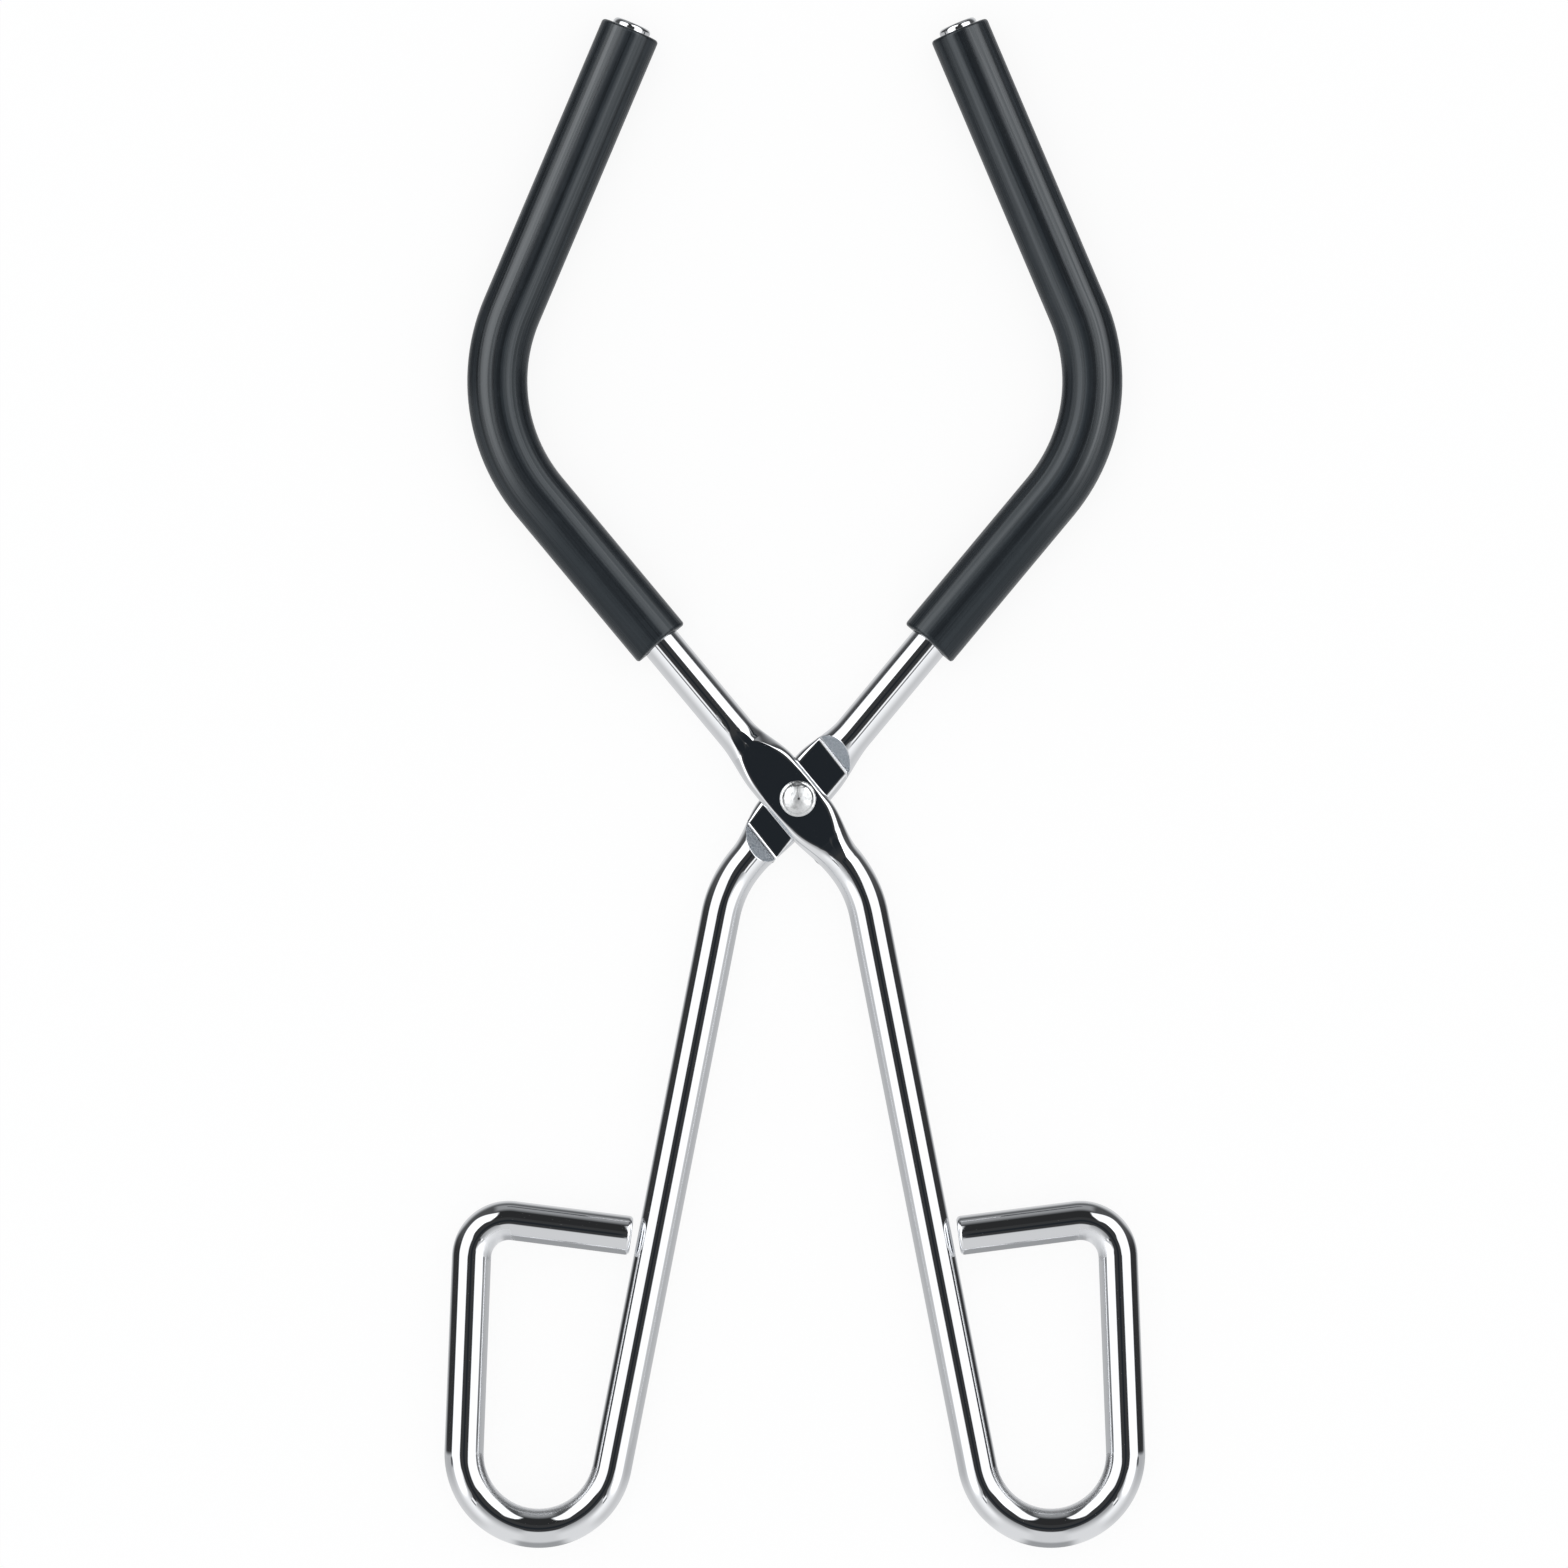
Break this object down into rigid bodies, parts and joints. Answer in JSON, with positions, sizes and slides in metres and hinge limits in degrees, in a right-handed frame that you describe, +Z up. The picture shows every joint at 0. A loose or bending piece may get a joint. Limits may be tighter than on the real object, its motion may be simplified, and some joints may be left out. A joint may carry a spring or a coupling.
{
  "type": "jar lifter",
  "caption": "Scissor-action jar lifter of crossed bent steel rods on a riveted half-lap pivot, with rubber-sleeved jaws and open finger loops.",
  "frame": {"origin": "middle of the outline seen from above, on the surface that the lifter lies on", "axes": "+X to the right across the jaws, +Y from the handles to the jaws, +Z up, out of the rivet's domed head"},
  "size_m": [0.1164, 0.254, 0.01],
  "materials": {
    "plated_rod": "bright polished chrome plating on round steel rod",
    "jaw_rubber": "matte black extruded rubber tube with fine lengthwise streaks",
    "rivet_steel": "dull bright zinc-plated steel with a peened head"
  },
  "bodies": {
    "rear_arm": {"rear_rod": "plated_rod", "right_jaw_sleeve": "jaw_rubber", "pivot_rivet": "rivet_steel"},
    "front_arm": {"front_rod": "plated_rod", "left_jaw_sleeve": "jaw_rubber"}
  },
  "joints": [
    {"name": "pivot", "type": "hinge", "parent": "rear_arm", "child": "front_arm", "pos_m": [0.0005, -0.00263, 0.00501], "axis": [0, 0, 1], "range_deg": [-20.5, 45]}
  ]
}
